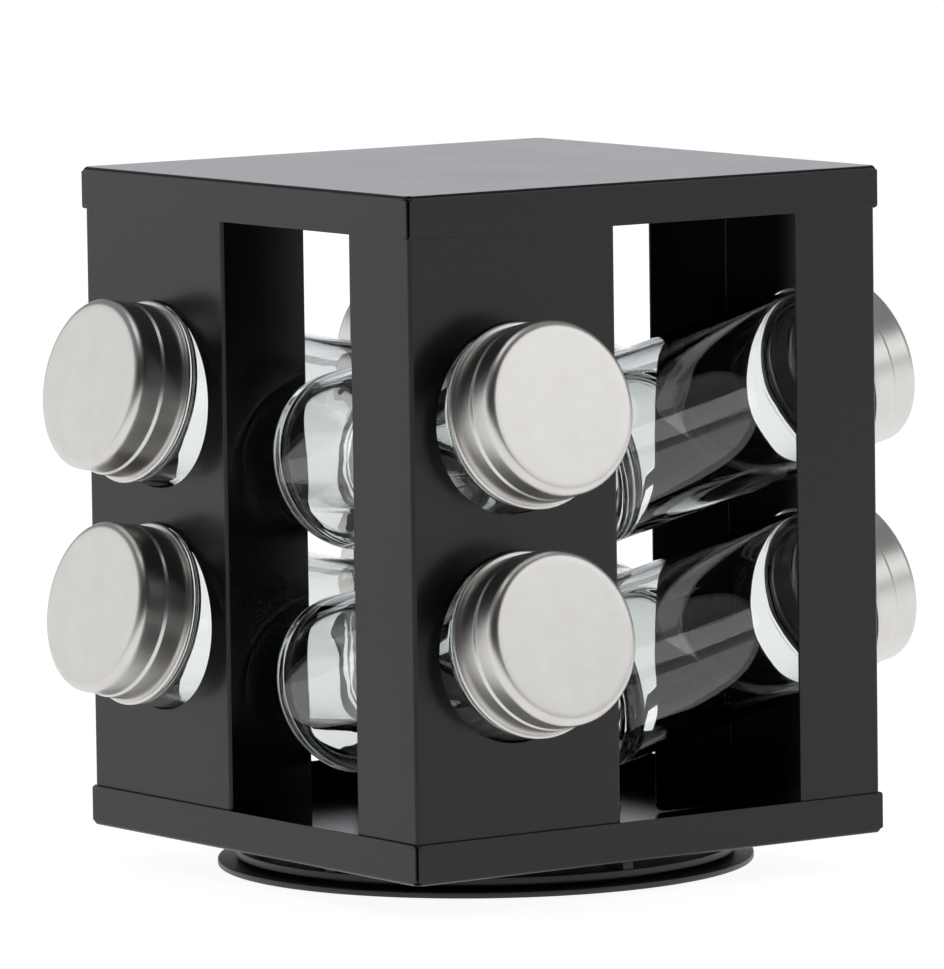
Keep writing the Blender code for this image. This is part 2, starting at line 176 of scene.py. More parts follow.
# %% Outlines and turning
def rounded(corners, steps=6):
    """Replaces each corner (x, y, radius) by an arc: its ends lie radius x tan(half the turn) from
    the corner."""
    points = np.array([corner[:2] for corner in corners], float)
    outline = [points[:1]]
    for i in range(1, len(corners) - 1):
        radius = corners[i][2] if len(corners[i]) > 2 else 0.0
        before = points[i - 1] - points[i]
        after = points[i + 1] - points[i]
        before, after = before / np.linalg.norm(before), after / np.linalg.norm(after)
        half = math.acos(np.clip(before @ after, -1, 1)) / 2
        if radius == 0.0 or abs(half - math.pi / 2) < 1e-4:
            outline.append(points[i : i + 1])
            continue
        middle = (before + after) / np.linalg.norm(before + after)
        centre = points[i] + middle * radius / math.sin(half)
        first = points[i] + before * radius / math.tan(half) - centre
        last = points[i] + after * radius / math.tan(half) - centre
        swing = math.pi - 2 * half
        t = np.linspace(0, 1, steps + 1)[:, None]
        arc = (np.sin((1 - t) * swing) * first + np.sin(t * swing) * last) / math.sin(swing)
        outline.append(centre + arc)
    outline.append(points[-1:])
    return np.concatenate(outline)


def evenly(outline, longest):
    """Adds points to an outline so that no stretch is longer than the given length."""
    pieces = [outline[:1]]
    for a, b in zip(outline[:-1], outline[1:]):
        count = max(1, math.ceil(np.linalg.norm(b - a) / longest))
        pieces.append(a + (b - a) * np.linspace(0, 1, count + 1)[1:, None])
    return np.concatenate(pieces)


def turned(outline, angles, place, swell=None):
    """A point at (radius, height) goes to radius times the direction at each angle, at that height,
    in the piece's own frame. swell(angle, radius, height) may add to the radius."""
    radius, height = outline[:, :1], outline[:, 1:]
    turn = angles[None, :]
    if swell is not None:
        radius = radius + swell(turn, radius, height)
    own = np.stack(
        np.broadcast_arrays(radius * np.cos(turn), radius * np.sin(turn), height),
        axis=-1,
    )
    matrix = np.array(place)
    return own @ matrix[:3, :3].T + matrix[:3, 3]


def turned_mesh(name, outline, count, place=Matrix.Identity(4), swell=None):
    """A closed turned shape. Where its outline starts and ends on the axis, the points there merge
    to one."""
    angles = np.linspace(0, math.tau, count, endpoint=False)
    grid = turned(outline, angles, place, swell)
    mesh = mesh_of_grids(name, [grid], around=True)
    keep_own_place(mesh, place)
    return mesh


def seat_frames():
    """Each jar's own frame, from its cap's joint: the joint's axis is +Z and its point is on the
    panel."""
    frames = {}
    for joint in frame["joints"]:
        if joint["name"].startswith("cap_") and joint["name"].endswith("_turn"):
            out = Vector(joint["axis"]).normalized()
            across = Vector((0, 0, 1)).cross(out).normalized()
            up = out.cross(across)
            matrix = Matrix((across, up, out)).transposed().to_4x4()
            matrix.translation = joint["pos_m"]
            frames[joint["name"].split("_")[1]] = matrix
    return frames


seats = seat_frames()
print("jar seats:", sorted(seats), "tilt", round(math.degrees(math.asin(seats["1"][2][2])), 2))

# %% [markdown]
# ## Making finishes
# A finish is a node tree. One small function adds any node: settings go on the node, numbers and
# links go on its inputs. Colours are written as the hex values a paint card gives, and turned to
# linear light once. Pattern sizes are in millimetres, and a noise texture's scale is one over that
# size in metres.


# %% Colour and node helpers
def colour(hexa):
    """sRGB hex to linear: the low part is divided by 12.92, the rest is a power of 2.4."""
    srgb = np.array([int(hexa[i : i + 2], 16) for i in (1, 3, 5)]) / 255
    linear = np.where(srgb <= 0.04045, srgb / 12.92, ((srgb + 0.055) / 1.055) ** 2.4)
    return (*linear.tolist(), 1.0)


def add_node(tree, kind, inputs=None, **settings):
    """Adds a node, with its settings, and with a number or a link on each input. An input goes by
    its name, or by its place in the list where several share a name."""
    node = tree.nodes.new(kind)
    for name, value in settings.items():
        setattr(node, name, value)
    for name, value in (inputs or {}).items():
        if isinstance(value, bpy.types.NodeSocket):
            tree.links.new(value, node.inputs[name])
        else:
            node.inputs[name].default_value = value
    return node


def per(size_mm):
    """The texture scale at which one wave of a pattern is this many millimetres long."""
    return 1 / (size_mm * MM)


def start_material(name):
    """An empty material with an output, and its tree."""
    material = bpy.data.materials.new(name)
    material.use_nodes = True
    tree = material.node_tree
    tree.nodes.clear()
    return material, tree


def end_material(tree, inputs):
    """The surface shader, joined to the output."""
    shader = add_node(tree, "ShaderNodeBsdfPrincipled", inputs)
    add_node(tree, "ShaderNodeOutputMaterial", {"Surface": shader.outputs["BSDF"]})


def object_place(tree):
    """Where a point is, in the shared frame, since every finished piece stands at the origin."""
    return add_node(tree, "ShaderNodeTexCoord").outputs["Object"]


def own_place(tree):
    """Where a point is in its own piece's frame, as keep_own_place stored it."""
    attribute = add_node(tree, "ShaderNodeAttribute", attribute_name="own_place")
    return attribute.outputs["Vector"]


def noise(tree, place, size_mm, detail=2.0, roughness=0.5):
    """Soft noise from 0 to 1, with waves of the given size."""
    inputs = {"Vector": place, "Scale": per(size_mm), "Detail": detail, "Roughness": roughness}
    return add_node(tree, "ShaderNodeTexNoise", inputs).outputs["Fac"]


def stretched(tree, place, sizes_mm):
    """A place divided by a size along each axis, so that a noise of scale 1 is drawn out into
    streaks."""
    scale = tuple(per(size) for size in sizes_mm)
    return add_node(tree, "ShaderNodeMapping", {"Vector": place, "Scale": scale}).outputs["Vector"]


def spread(tree, value, low, high, start=0.0, end=1.0):
    """Maps start to end onto low to high, and holds the value at both ends."""
    inputs = {"Value": value, "From Min": start, "From Max": end, "To Min": low, "To Max": high}
    return add_node(tree, "ShaderNodeMapRange", inputs).outputs["Result"]


def blend_colours(tree, share, first, second):
    """Goes from the first colour to the second as share goes from 0 to 1. A Mix node keeps inputs
    for each kind of value, and its colours are the seventh and eighth."""
    inputs = {0: share, 6: colour(first), 7: colour(second)}
    return add_node(tree, "ShaderNodeMix", inputs, data_type="RGBA").outputs[2]


def multiply(tree, first, second):
    """One value times another."""
    inputs = {0: first, 1: second}
    return add_node(tree, "ShaderNodeMath", inputs, operation="MULTIPLY").outputs["Value"]


def bump(tree, height, depth_mm, normal=None):
    """Tilts the surface as if it were raised by height times this depth."""
    inputs = {"Height": height, "Distance": depth_mm * MM, "Strength": 1.0}
    if normal is not None:
        inputs["Normal"] = normal
    return add_node(tree, "ShaderNodeBump", inputs).outputs["Normal"]


# %% [markdown]
# ## Satin black powder coat
# The rack is mild steel under a baked powder coat. The powder melts into a film that is smooth but
# never quite flat: a faint orange peel with waves of a millimetre or two, which softens reflections
# without making the paint matt. A fine second noise stands for the grains that did not quite melt,
# drawn coarser than the real 0.05 mm so that it can be seen at all.


# %% Powder coat
def make_powder_coat():
    material, tree = start_material("satin_black_powder_coat")
    place = object_place(tree)
    peel = noise(tree, place, 1.8)
    grain = noise(tree, place, 0.35, detail=1.0)
    handled = noise(tree, place, 32.0, detail=3.0)
    normal = bump(tree, grain, 0.0008, bump(tree, peel, 0.006))
    end_material(
        tree,
        {
            "Base Color": blend_colours(tree, handled, "#060607", "#0a0a0c"),
            "Roughness": spread(tree, handled, 0.225, 0.255),
            "IOR": 1.5,
            "Specular IOR Level": 0.39,
            "Normal": normal,
        },
    )
    return material


powder_coat = make_powder_coat()
print("finish:", powder_coat.name)

# %% [markdown]
# ## The cover and the base tray
# Both are one blank of sheet steel with four rims folded over a 1 mm radius. The corners are not
# welded: two rims meet with an open slit, and where the fold lines would cross the blank has a
# round relief hole, or the steel would tear there. A cube with bevelled edges would show closed
# corners. Here the floor is one grid, and each side a strip of rows: the fold's arc and then the
# rim. Each row has its own half width, which narrows around the relief and at the rim's rounded
# free corner.

# %% Folded trays
SLIT = 1.0 * MM
RELIEF = 1.2 * MM
RIM_CORNER = 0.9 * MM
FOLD_STEPS = 8
TRAY_COLUMNS = 41
BROKEN_EDGE = 0.12 * MM


def row_heights(rim):
    """Heights of a rim's rows above the fold: close together at the relief and the free corner."""
    relief = np.linspace(0, 1, 6)[1:] * (RELIEF * 1.02 - FOLD) + FOLD
    corner = rim - RIM_CORNER * np.cos(np.linspace(0, math.pi / 2, 9))
    return np.concatenate([relief, np.linspace(relief[-1], corner[0], 4)[1:-1], corner])


def row_half_width(height, rim):
    """Half width of a side at a height: the slit's line, less a circle about the crossing of the folds,
    and less the rounding of the free corner."""
    slit_line = SIDE / 2 - SLIT / math.sqrt(2)
    relief = np.sqrt(np.clip(RELIEF**2 - height**2, 0, None))
    into_corner = np.clip(height - (rim - RIM_CORNER), 0, RIM_CORNER)
    rounding = RIM_CORNER - np.sqrt(RIM_CORNER**2 - into_corner**2)
    return slit_line - relief - rounding


def tray_strip(rim, share):
    """One side of a tray, mouth up: rows are (distance out, height), columns run along the side."""
    half = SIDE / 2
    turn = np.linspace(0, math.pi / 2, FOLD_STEPS)
    flat = row_half_width(np.zeros(1), rim)[0]
    fold_out = half - FOLD + FOLD * np.sin(turn)
    fold_up = FOLD - FOLD * np.cos(turn)
    up = row_heights(rim)
    out = np.concatenate([[flat], fold_out, np.full(len(up), half)])
    height = np.concatenate([[0.0], fold_up, up])
    width = np.concatenate([[flat], row_half_width(fold_up, rim), row_half_width(up, rim)])
    along = width[:, None] * share[None, :]
    return np.stack(np.broadcast_arrays(out[:, None], along, height[:, None]), axis=-1)


def quarter_turns(points, count=SIDES):
    """The same points turned about +Z by 0, 1, 2 and 3 quarters: (x, y) becomes (-y, x) each time."""
    turns = [points]
    for _ in range(count - 1):
        x, y, z = np.moveaxis(turns[-1], -1, 0)
        turns.append(np.stack([-y, x, z], axis=-1))
    return turns


def folded_tray_mesh(name, rim, bottom, upside_down=False):
    """The floor's grid and the four sides. Half a turn about X puts the mouth down."""
    share = np.linspace(-1, 1, TRAY_COLUMNS)
    strip = tray_strip(rim, share)
    flat = strip[0, -1, 1]
    x, y = np.meshgrid(share * flat, share * flat, indexing="ij")
    grids = [np.stack([x, y, np.zeros_like(x)], axis=-1), *quarter_turns(strip)]
    for grid in grids:
        if upside_down:
            grid[..., 1:] *= -1
        grid[..., 2] += bottom
    inside = (0, 0, bottom + (-rim if upside_down else rim))
    return face_away(mesh_of_grids(name, grids), inside)


def sheet_metal(piece):
    """Gives a surface the sheet's thickness, breaks its cut edges as tumbling does, and lets each
    point take its shading from the largest face at it, so that the flats look flat up to their
    folds."""
    wall = piece.modifiers.new("Wall", "SOLIDIFY")
    wall.thickness = SHEET
    wall.offset = -1
    wall.use_even_offset = True
    broken = piece.modifiers.new("Broken edge", "BEVEL")
    broken.width = BROKEN_EDGE
    broken.segments = 2
    broken.limit_method = "ANGLE"
    broken.angle_limit = math.radians(50)
    flats = piece.modifiers.new("Flats stay flat", "WEIGHTED_NORMAL")
    flats.keep_sharp = True
    return piece


cover_mesh = folded_tray_mesh("cover", COVER_RIM, cover_high.z, upside_down=True)
tray_mesh = folded_tray_mesh("tray", TRAY_RIM, tray_low.z)
cover = make_piece("cover", cover_mesh, powder_coat, "rack", "top_cover")
tray = make_piece("tray", tray_mesh, powder_coat, "rack", "base_tray")
for piece in (cover, tray):
    sheet_metal(piece)
print("tray points:", len(tray_mesh.vertices))

# %% [markdown]
# ## The corner columns
# Each column is a channel folded from one blank: a narrow flange, a wide panel with the two jar
# holes, and a return flange that stiffens the window's edge. Cutting the holes with a Boolean would
# leave long thin triangles that shade badly. Instead each hole gets its own patch, a grid between
# the hole's circle and a rectangle: every point of the rectangle is joined to the circle's point in
# the same direction.

# %% Columns
FLANGE_CORNER = 2.5 * MM
CORNER_STEPS = 9
EDGE_STEPS = 12
SQUARE_END = 1.0  # further than any path is long, so that its ends stay square


def hole_patch(centre, half_width, half_height):
    """Rows run from the circle to the rectangle, closer together near the circle; columns run round
    it."""
    line = np.linspace(-1, 1, EDGE_STEPS * 2 + 1)[:-1]
    one = np.ones_like(line)
    round_x = np.concatenate([line, one, -line, -one]) * half_width
    round_z = np.concatenate([-one, line, one, -line]) * half_height
    reach = np.hypot(round_x, round_z)
    share = np.array([0, 0.02, 0.08, 0.2, 0.45, 0.7, 1.0])[:, None]
    x = (HOLE_RADIUS * round_x / reach) * (1 - share) + round_x * share
    z = (HOLE_RADIUS * round_z / reach) * (1 - share) + round_z * share
    return np.stack([centre[0] + x, np.full_like(x, -PANEL), centre[1] + z], axis=-1)


def column_rows(middle, pitch, low, high):
    """Heights of a column's rows: the two hole patches' own, and a few above and below them."""
    patch = np.linspace(-1, 1, EDGE_STEPS * 2 + 1) * pitch / 2
    lower, upper = middle - pitch / 2 + patch, middle + pitch / 2 + patch
    below, above = np.linspace(low, lower[0], 5)[:-1], np.linspace(upper[-1], high, 5)[1:]
    return np.concatenate([below, lower, upper[1:], above]), len(below)


def flange_strip(path, free_from, heights):
    """A strip along a path of (x, y) points. Past the distance free_from its ends are rounded towards the
    free edge: the height keeps its share of a half height that shrinks as a circle does."""
    steps = np.concatenate([[0], np.cumsum(np.linalg.norm(np.diff(path, axis=0), axis=1))])
    into = np.clip(steps - free_from, 0, FLANGE_CORNER)
    drop = FLANGE_CORNER - np.sqrt(FLANGE_CORNER**2 - into**2)
    middle, half = (heights[0] + heights[-1]) / 2, (heights[-1] - heights[0]) / 2
    z = middle + (heights[None, :] - middle) * (1 - drop / half)[:, None]
    x, y = (np.broadcast_to(path[:, i : i + 1], z.shape) for i in range(2))
    return np.stack([x, y, z], axis=-1)


def column_paths():
    """The column's section in three parts: the narrow flange and its fold, the wide panel, and the other
    fold with the return flange. Each is a list of (x, y) points for the column at (-X, -Y)."""
    left, right, front = -PANEL, -PANEL + WIDE_PANEL, -PANEL
    turn = np.linspace(0, math.pi / 2, FOLD_STEPS)[:, None]
    arc_in = np.hstack([left + FOLD - FOLD * np.cos(turn), front + FOLD - FOLD * np.sin(turn)])
    arc_out = np.hstack([right - FOLD + FOLD * np.sin(turn), front + FOLD - FOLD * np.cos(turn)])
    narrow = np.array([[left, front + NARROW_FLANGE], [left, front + NARROW_FLANGE / 2]])
    reach = RETURN_FLANGE - FLANGE_CORNER
    corner = reach + FLANGE_CORNER * np.sin(np.linspace(0, math.pi / 2, CORNER_STEPS))
    far = np.concatenate([[reach / 2], corner])
    back = np.stack([np.full_like(far, right), front + far], axis=1)
    across = np.linspace(-1, 1, EDGE_STEPS * 2 + 1) * (WIDE_PANEL / 2 - FOLD) + (left + right) / 2
    face = np.stack([across, np.full_like(across, front)], axis=1)
    return np.concatenate([narrow, arc_in]), face, np.concatenate([arc_out, back])


def column_mesh(name, quarter):
    """The column at (-X, -Y) as four strips and two hole patches, turned by its quarters."""
    upper, lower = seats["1"].translation, seats["2"].translation
    pitch, middle = upper.z - lower.z, (upper.z + lower.z) / 2
    heights, below = column_rows(middle, pitch, column_low.z, column_high.z)
    narrow, face, back = column_paths()
    straight = math.pi / 2 * FOLD + RETURN_FLANGE - FLANGE_CORNER - FOLD
    grids = [
        flange_strip(narrow, SQUARE_END, heights),
        flange_strip(back, straight, heights),
        flange_strip(face, SQUARE_END, heights[: below + 1]),
        flange_strip(face, SQUARE_END, heights[-below - 1 :]),
    ]
    half_width = WIDE_PANEL / 2 - FOLD
    patches = [hole_patch((seat.x, seat.z), half_width, pitch / 2) for seat in (upper, lower)]
    grids += [np.concatenate([patch, patch[:, :1]], axis=1) for patch in patches]
    turned_grids = [quarter_turns(grid)[quarter] for grid in grids]
    inside = np.array([[[WIDE_PANEL / 2 - PANEL, NARROW_FLANGE / 2 - PANEL, middle]]])
    return face_away(mesh_of_grids(name, turned_grids), quarter_turns(inside)[quarter][0, 0])


for quarter in range(SIDES):
    node = f"column_{quarter + 1}"
    mesh = column_mesh(f"corner_{node}", quarter)
    sheet_metal(make_piece(f"corner_{node}", mesh, powder_coat, "rack", node))
print("column points:", len(mesh.vertices))

# %% [markdown]
# ## Blown soda-lime glass
# The jars are ordinary container glass: clear, with the faint green of a little iron, and an index
# of 1.52. It is blown against a mould, so the outside is true and the inside is not: the wall is up
# to a quarter millimetre thicker in places. That uneven lens is what breaks up the view through a
# jar, so it is in the shape. The finish only adds the fine ripple of the mould's surface.


# %% Glass
def make_glass():
    material, tree = start_material("soda_lime_glass")
    ripple = noise(tree, own_place(tree), 7.0, detail=1.5)
    end_material(
        tree,
        {
            "Base Color": colour("#f8faf9"),
            "Roughness": 0.0,
            "IOR": 1.52,
            "Transmission Weight": 1.0,
            "Normal": bump(tree, ripple, 0.012),
        },
    )
    return material


glass = make_glass()
JAR_RADIUS = 23.4 * MM
JAR_WALL = 1.7 * MM
NECK_RADIUS = 21.0 * MM
NECK_BORE = 18.6 * MM
LIP = 19.4 * MM
FOOT = -77.4 * MM
SHOULDER = 5.1 * MM
THREAD_START = 8.6 * MM
THREAD_PITCH = 4.2 * MM
THREAD_TURNS = 1.25
THREAD_FADES_IN = 1 / 12  # of a turn
THREAD_DEPTH = 0.65 * MM
THREAD_WIDTH = 0.9 * MM
WAVE_DEPTH = 0.11 * MM
print("finish:", glass.name)

# %% [markdown]
# ## The jars
# The outline goes up the inside, over the lip and down the outside to the pushed-up foot, as a blow
# mould forms it. The thread is a bead that climbs the neck as it goes round: its height at a point
# is a bell curve of the distance to the helix, and it fades out at both ends. Waves in the inside
# wall are sums of slow sines, different for each jar.


# %% Jars
def jar_outline():
    inside = JAR_RADIUS - JAR_WALL
    corners = [
        (0.0, FOOT + 3.6 * MM),
        (inside, FOOT + 3.2 * MM, 3.0 * MM),
        (inside, SHOULDER - 1.9 * MM, 0.9 * MM),
        (NECK_BORE, SHOULDER - 1.4 * MM, 0.9 * MM),
        (NECK_BORE, LIP, 0.9 * MM),
        (NECK_RADIUS, LIP, 0.9 * MM),
        (NECK_RADIUS, SHOULDER, 0.25 * MM),
        (JAR_RADIUS, SHOULDER - 0.1 * MM, 0.8 * MM),
        (JAR_RADIUS, FOOT, 1.9 * MM),
        (20.4 * MM, FOOT, 0.8 * MM),
        (18.6 * MM, FOOT + 1.4 * MM, 1.2 * MM),
        (0.0, FOOT + 2.1 * MM),
    ]
    return evenly(rounded(corners, 7), 0.9 * MM)


def thread_bead(turn, height):
    """Bell curve about a helix that rises one pitch a turn, faded at the start and the end."""
    bead = 0
    for lap in range(2):
        along = turn / math.tau + lap
        rise = THREAD_START + THREAD_PITCH * along
        run_in, run_out = along / THREAD_FADES_IN, (THREAD_TURNS - along) / THREAD_FADES_IN
        fade = np.clip(run_in, 0, 1) * np.clip(run_out, 0, 1)
        bead = bead + fade * np.exp(-(((height - rise) / THREAD_WIDTH) ** 2))
    return THREAD_DEPTH * bead


def jar_swell(number):
    """What a jar adds to its outline: the thread outside the neck, and uneven waves inside the body."""

    def swell(turn, radius, height):
        on_neck = (radius > NECK_RADIUS - 0.05 * MM) & (radius < NECK_RADIUS + 0.05 * MM)
        inner = (radius > 15 * MM) & (radius < JAR_RADIUS - JAR_WALL + 0.05 * MM)
        inner = inner & (height < SHOULDER) & (height > FOOT + 3.0 * MM)
        phase = number * 1.7
        wave = np.sin(2 * turn + phase) * np.cos(height / (17 * MM) + phase)
        wave = wave + 0.6 * np.sin(3 * turn - phase + height / (11 * MM))
        wave = wave + 0.35 * np.sin(5 * turn + height / (6 * MM))
        return on_neck * thread_bead(turn, height) + inner * WAVE_DEPTH * wave

    return swell


for number, seat in seats.items():
    mesh = turned_mesh(f"glass_jar_{number}", jar_outline(), 128, seat, jar_swell(int(number)))
    make_piece(mesh.name, mesh, glass, f"jar_{number}", f"jar_{number}", 60)
print("jar points:", len(mesh.vertices))

# %% [markdown]
# ## Satin stainless steel
# The caps are pressed from 430 stainless with a satin belt finish. The belt leaves fine straight
# lines on the face, and rolling the skirt leaves lines that run round it. Both are much finer than
# they are drawn here. The shape's own place gives the direction of each: across the face one way,
# round the skirt the other. A slow mottle stands for the light handling that bare steel always
# shows.


# %% Stainless
CAP_FACE = 21.3 * MM
CAP_SHEET = 0.45 * MM
CURL_MARKS = 160
CURL_MARKS_FROM = 7.1 * MM
CURL_MARKS_FULL = 6.8 * MM
SHOULDER_DROP = 0.4 * MM
NO_STRETCH = 1000.0


def curl_marks(tree, place, height):
    """Fine grip marks round the curl: a sine of the angle, kept to the heights below the curl's top."""
    turn = add_node(tree, "ShaderNodeTexGradient", {"Vector": place}, gradient_type="RADIAL")
    angle = multiply(tree, turn.outputs["Fac"], math.tau * CURL_MARKS)
    wave = add_node(tree, "ShaderNodeMath", {0: angle}, operation="SINE").outputs["Value"]
    return multiply(tree, wave, spread(tree, height, 0.0, 1.0, CURL_MARKS_FROM, CURL_MARKS_FULL))


def make_stainless():
    """Bare metal, with belt lines on the face, rolled lines below it, and a cloudy gloss."""
    material, tree = start_material("satin_stainless_steel")
    place = own_place(tree)
    belt = noise(tree, stretched(tree, place, (0.16, 9.0, 60.0)), NO_STRETCH)
    rolled = noise(tree, stretched(tree, place, (14.0, 14.0, 0.16)), NO_STRETCH)
    mottle = noise(tree, place, 11.0, detail=3.0, roughness=0.6)
    height = add_node(tree, "ShaderNodeSeparateXYZ", {"Vector": place}).outputs["Z"]
    face = spread(tree, height, 0.0, 1.0, CAP_FACE - SHOULDER_DROP, CAP_FACE - SHOULDER_DROP / 4)
    inputs = {"Factor": face, "A": rolled, "B": belt}
    lines = add_node(tree, "ShaderNodeMix", inputs, data_type="FLOAT").outputs["Result"]
    normal = bump(tree, lines, 0.0016)
    end_material(
        tree,
        {
            "Base Color": blend_colours(tree, mottle, "#c9c5bf", "#e0dfdd"),
            "Metallic": 1.0,
            "Roughness": spread(tree, mottle, 0.29, 0.37),
            "Normal": bump(tree, curl_marks(tree, place, height), 0.009, normal),
        },
    )
    return material


stainless = make_stainless()
print("finish:", stainless.name)

# %% [markdown]
# ## The caps
# A cap is drawn from a disc: a flat face, a rounded shoulder, an upper wall, a rolled step, a
# slightly wider skirt and an edge curled outwards into a bead. The outline follows the outside of
# the sheet and Solidify adds the thickness inwards, so both sides stay true. The curl is an arc of
# three quarters of a turn.


# %% Caps
def cap_outline():
    """From the middle of the face to the end of the curl, down the outside."""
    wall, skirt, neck_in = 22.5 * MM, 22.9 * MM, 22.75 * MM
    corners = [
        (0.0, CAP_FACE),
        (wall, CAP_FACE, 2.1 * MM),
        (wall, 13.9 * MM, 0.6 * MM),
        (skirt, 13.1 * MM, 0.6 * MM),
        (skirt, 7.6 * MM, 0.4 * MM),
        (neck_in, 7.2 * MM, 0.3 * MM),
        (neck_in, 6.9 * MM, 0.15 * MM),
        (23.3 * MM, 6.9 * MM),
    ]
    radius, centre = 0.62 * MM, (23.5 * MM, 6.25 * MM)
    turn = np.linspace(math.radians(100), math.radians(-170), 18)
    curl = np.stack([centre[0] + radius * np.cos(turn), centre[1] + radius * np.sin(turn)], axis=1)
    return evenly(np.concatenate([rounded(corners, 6)[:-1], curl]), 1.2 * MM)


for number, seat in seats.items():
    mesh = turned_mesh(f"screw_cap_{number}", cap_outline(), 160, seat)
    face_away(mesh, seat @ Vector((0, 0, 12 * MM)))
    cap = make_piece(mesh.name, mesh, stainless, f"cap_{number}", f"jar_cap_{number}")
    wall = cap.modifiers.new("Wall", "SOLIDIFY")
    wall.thickness = CAP_SHEET
    wall.offset = -1
print("cap points:", len(mesh.vertices))

# %% [markdown]
# ## Moulded plastics and small steel
# The turntable is black ABS with a fine spark-eroded texture, the ball cage natural nylon, the feet
# rubber, and the cap liners foamed polyethylene. Each gets the colour and roughness of its kind and
# a texture at the real scale. The screws are zinc plated, which is a soft grey metal with cloudy
# patches.


# %% Plastics, rubber and fasteners
def make_plain(name, dark, light, roughness, grain_mm, depth_mm, metallic=0.0, ior=1.5):
    """A finish with a clouded colour and a fine raised grain."""
    material, tree = start_material(name)
    place = object_place(tree)
    cloud = noise(tree, place, 14.0, detail=3.0)
    grain = noise(tree, place, grain_mm, detail=2.0)
    end_material(
        tree,
        {
            "Base Color": blend_colours(tree, cloud, dark, light),
            "Metallic": metallic,
            "Roughness": spread(tree, cloud, roughness - 0.04, roughness + 0.04),
            "IOR": ior,
            "Normal": bump(tree, grain, depth_mm),
        },
    )
    return material


black_abs = make_plain("moulded_black_abs", "#1b1b1c", "#202021", 0.40, 0.5, 0.004, ior=1.54)
nylon = make_plain("natural_nylon", "#d8d3c6", "#e4dfd2", 0.48, 0.8, 0.003, ior=1.53)
rubber = make_plain("moulded_rubber", "#161616", "#1e1e1e", 0.80, 0.4, 0.006, ior=1.52)
foam = make_plain("foamed_polyethylene", "#e6e6e2", "#f0f0ec", 0.62, 0.5, 0.01, ior=1.51)
zinc = make_plain("zinc_plated_steel", "#a9abab", "#c4c5c3", 0.34, 0.6, 0.002, metallic=1.0)
ball_steel = make_plain("polished_bearing_steel", "#bfc0c2", "#cbccce", 0.10, 3.0, 0.0002, metallic=1.0)
print("finishes:", [m.name for m in (black_abs, nylon, rubber, foam, zinc, ball_steel)])

# %% [markdown]
# ## The turntable
# Two discs turn against each other on balls. The lower one has a flat lip that shows around the
# rack's shadow, and the upper one a rim with short spacers that carry the tray. The spacers are not
# separate blocks: the top of the rim simply stands higher over a few degrees, so its height is a
# function of the angle, and the angles are set close together at each spacer's ends to keep its
# sides upright.

# %% Turntable
TURNTABLE_SEGMENTS = 216
base_low, base_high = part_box("turntable_base")
top_low, top_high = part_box("turntable_top")
BASE_RADIUS = 70.7 * MM
TOP_RADIUS = 66.0 * MM
TOP_FACE = 5.6 * MM
SPACERS = 5
FIRST_SPACER = math.radians(-73.5)
SPACER_WIDTH = 3.0 * MM
HUB = 4.0 * MM
RACE = 50.0 * MM  # the radius on which the balls run
RACE_HALF = 0.9 * MM
RACE_DEPTH = 0.2 * MM
BALL_GROOVE = 1.25 * MM


def base_outline():
    """Hub, floor, low wall and flat lip, from the hub's blind hole outwards and back underneath."""
    floor, wall_top, lip_top = 1.8 * MM, 3.6 * MM, 2.5 * MM
    return rounded(
        [
            (0.0, 1.4 * MM),
            (1.8 * MM, 1.4 * MM),
            (1.8 * MM, base_high.z, 0.2 * MM),
            (HUB, base_high.z, 0.3 * MM),
            (HUB, floor, 0.4 * MM),
            (RACE - RACE_HALF, floor),
            (RACE, floor - RACE_DEPTH, BALL_GROOVE),
            (RACE + RACE_HALF, floor),
            (59.8 * MM, floor, 0.3 * MM),
            (59.8 * MM, wall_top, 0.3 * MM),
            (62.0 * MM, wall_top, 0.3 * MM),
            (62.0 * MM, lip_top, 0.3 * MM),
            (BASE_RADIUS, lip_top, 0.4 * MM),
            (BASE_RADIUS, base_low.z, 0.4 * MM),
            (0.0, base_low.z),
        ]
    )


def top_outline():
    """The plate and its rim, from the hub's bore over the top, round the rim and back underneath."""
    underside, bore = 4.2 * MM, HUB + 0.3 * MM
    return rounded(
        [
            (bore, underside + 0.1 * MM),
            (bore, TOP_FACE, 0.2 * MM),
            (61.8 * MM, TOP_FACE),
            (62.4 * MM, TOP_FACE),
            (65.4 * MM, TOP_FACE),
            (TOP_RADIUS, TOP_FACE, 0.35 * MM),
            (TOP_RADIUS, top_low.z, 0.3 * MM),
            (62.5 * MM, top_low.z, 0.2 * MM),
            (62.5 * MM, underside, 0.2 * MM),
            (RACE + RACE_HALF, underside),
            (RACE, underside + RACE_DEPTH, BALL_GROOVE),
            (RACE - RACE_HALF, underside),
            (bore, underside, 0.2 * MM),
            (bore, underside + 0.1 * MM),
        ]
    )


base_mesh = turned_mesh("turntable_dish", base_outline(), TURNTABLE_SEGMENTS)
make_piece("turntable_dish", base_mesh, black_abs, "base", "turntable_base")
print("dish points:", len(base_mesh.vertices))


def spacer_angles():
    """Even angles, and for each spacer four more: just outside and just inside both its ends."""
    even = np.linspace(0, math.tau, TURNTABLE_SEGMENTS, endpoint=False)
    middles = FIRST_SPACER + math.tau * np.arange(SPACERS) / SPACERS
    half = SPACER_WIDTH / 2 / TOP_RADIUS
    edge = 0.06 * MM / TOP_RADIUS
    ends = np.array([-half - edge, -half, -half * 0.4, half * 0.4, half, half + edge])
    close = (middles[:, None] + ends[None, :]).ravel() % math.tau
    return np.unique(np.round(np.concatenate([even, close]), 7)), middles, half


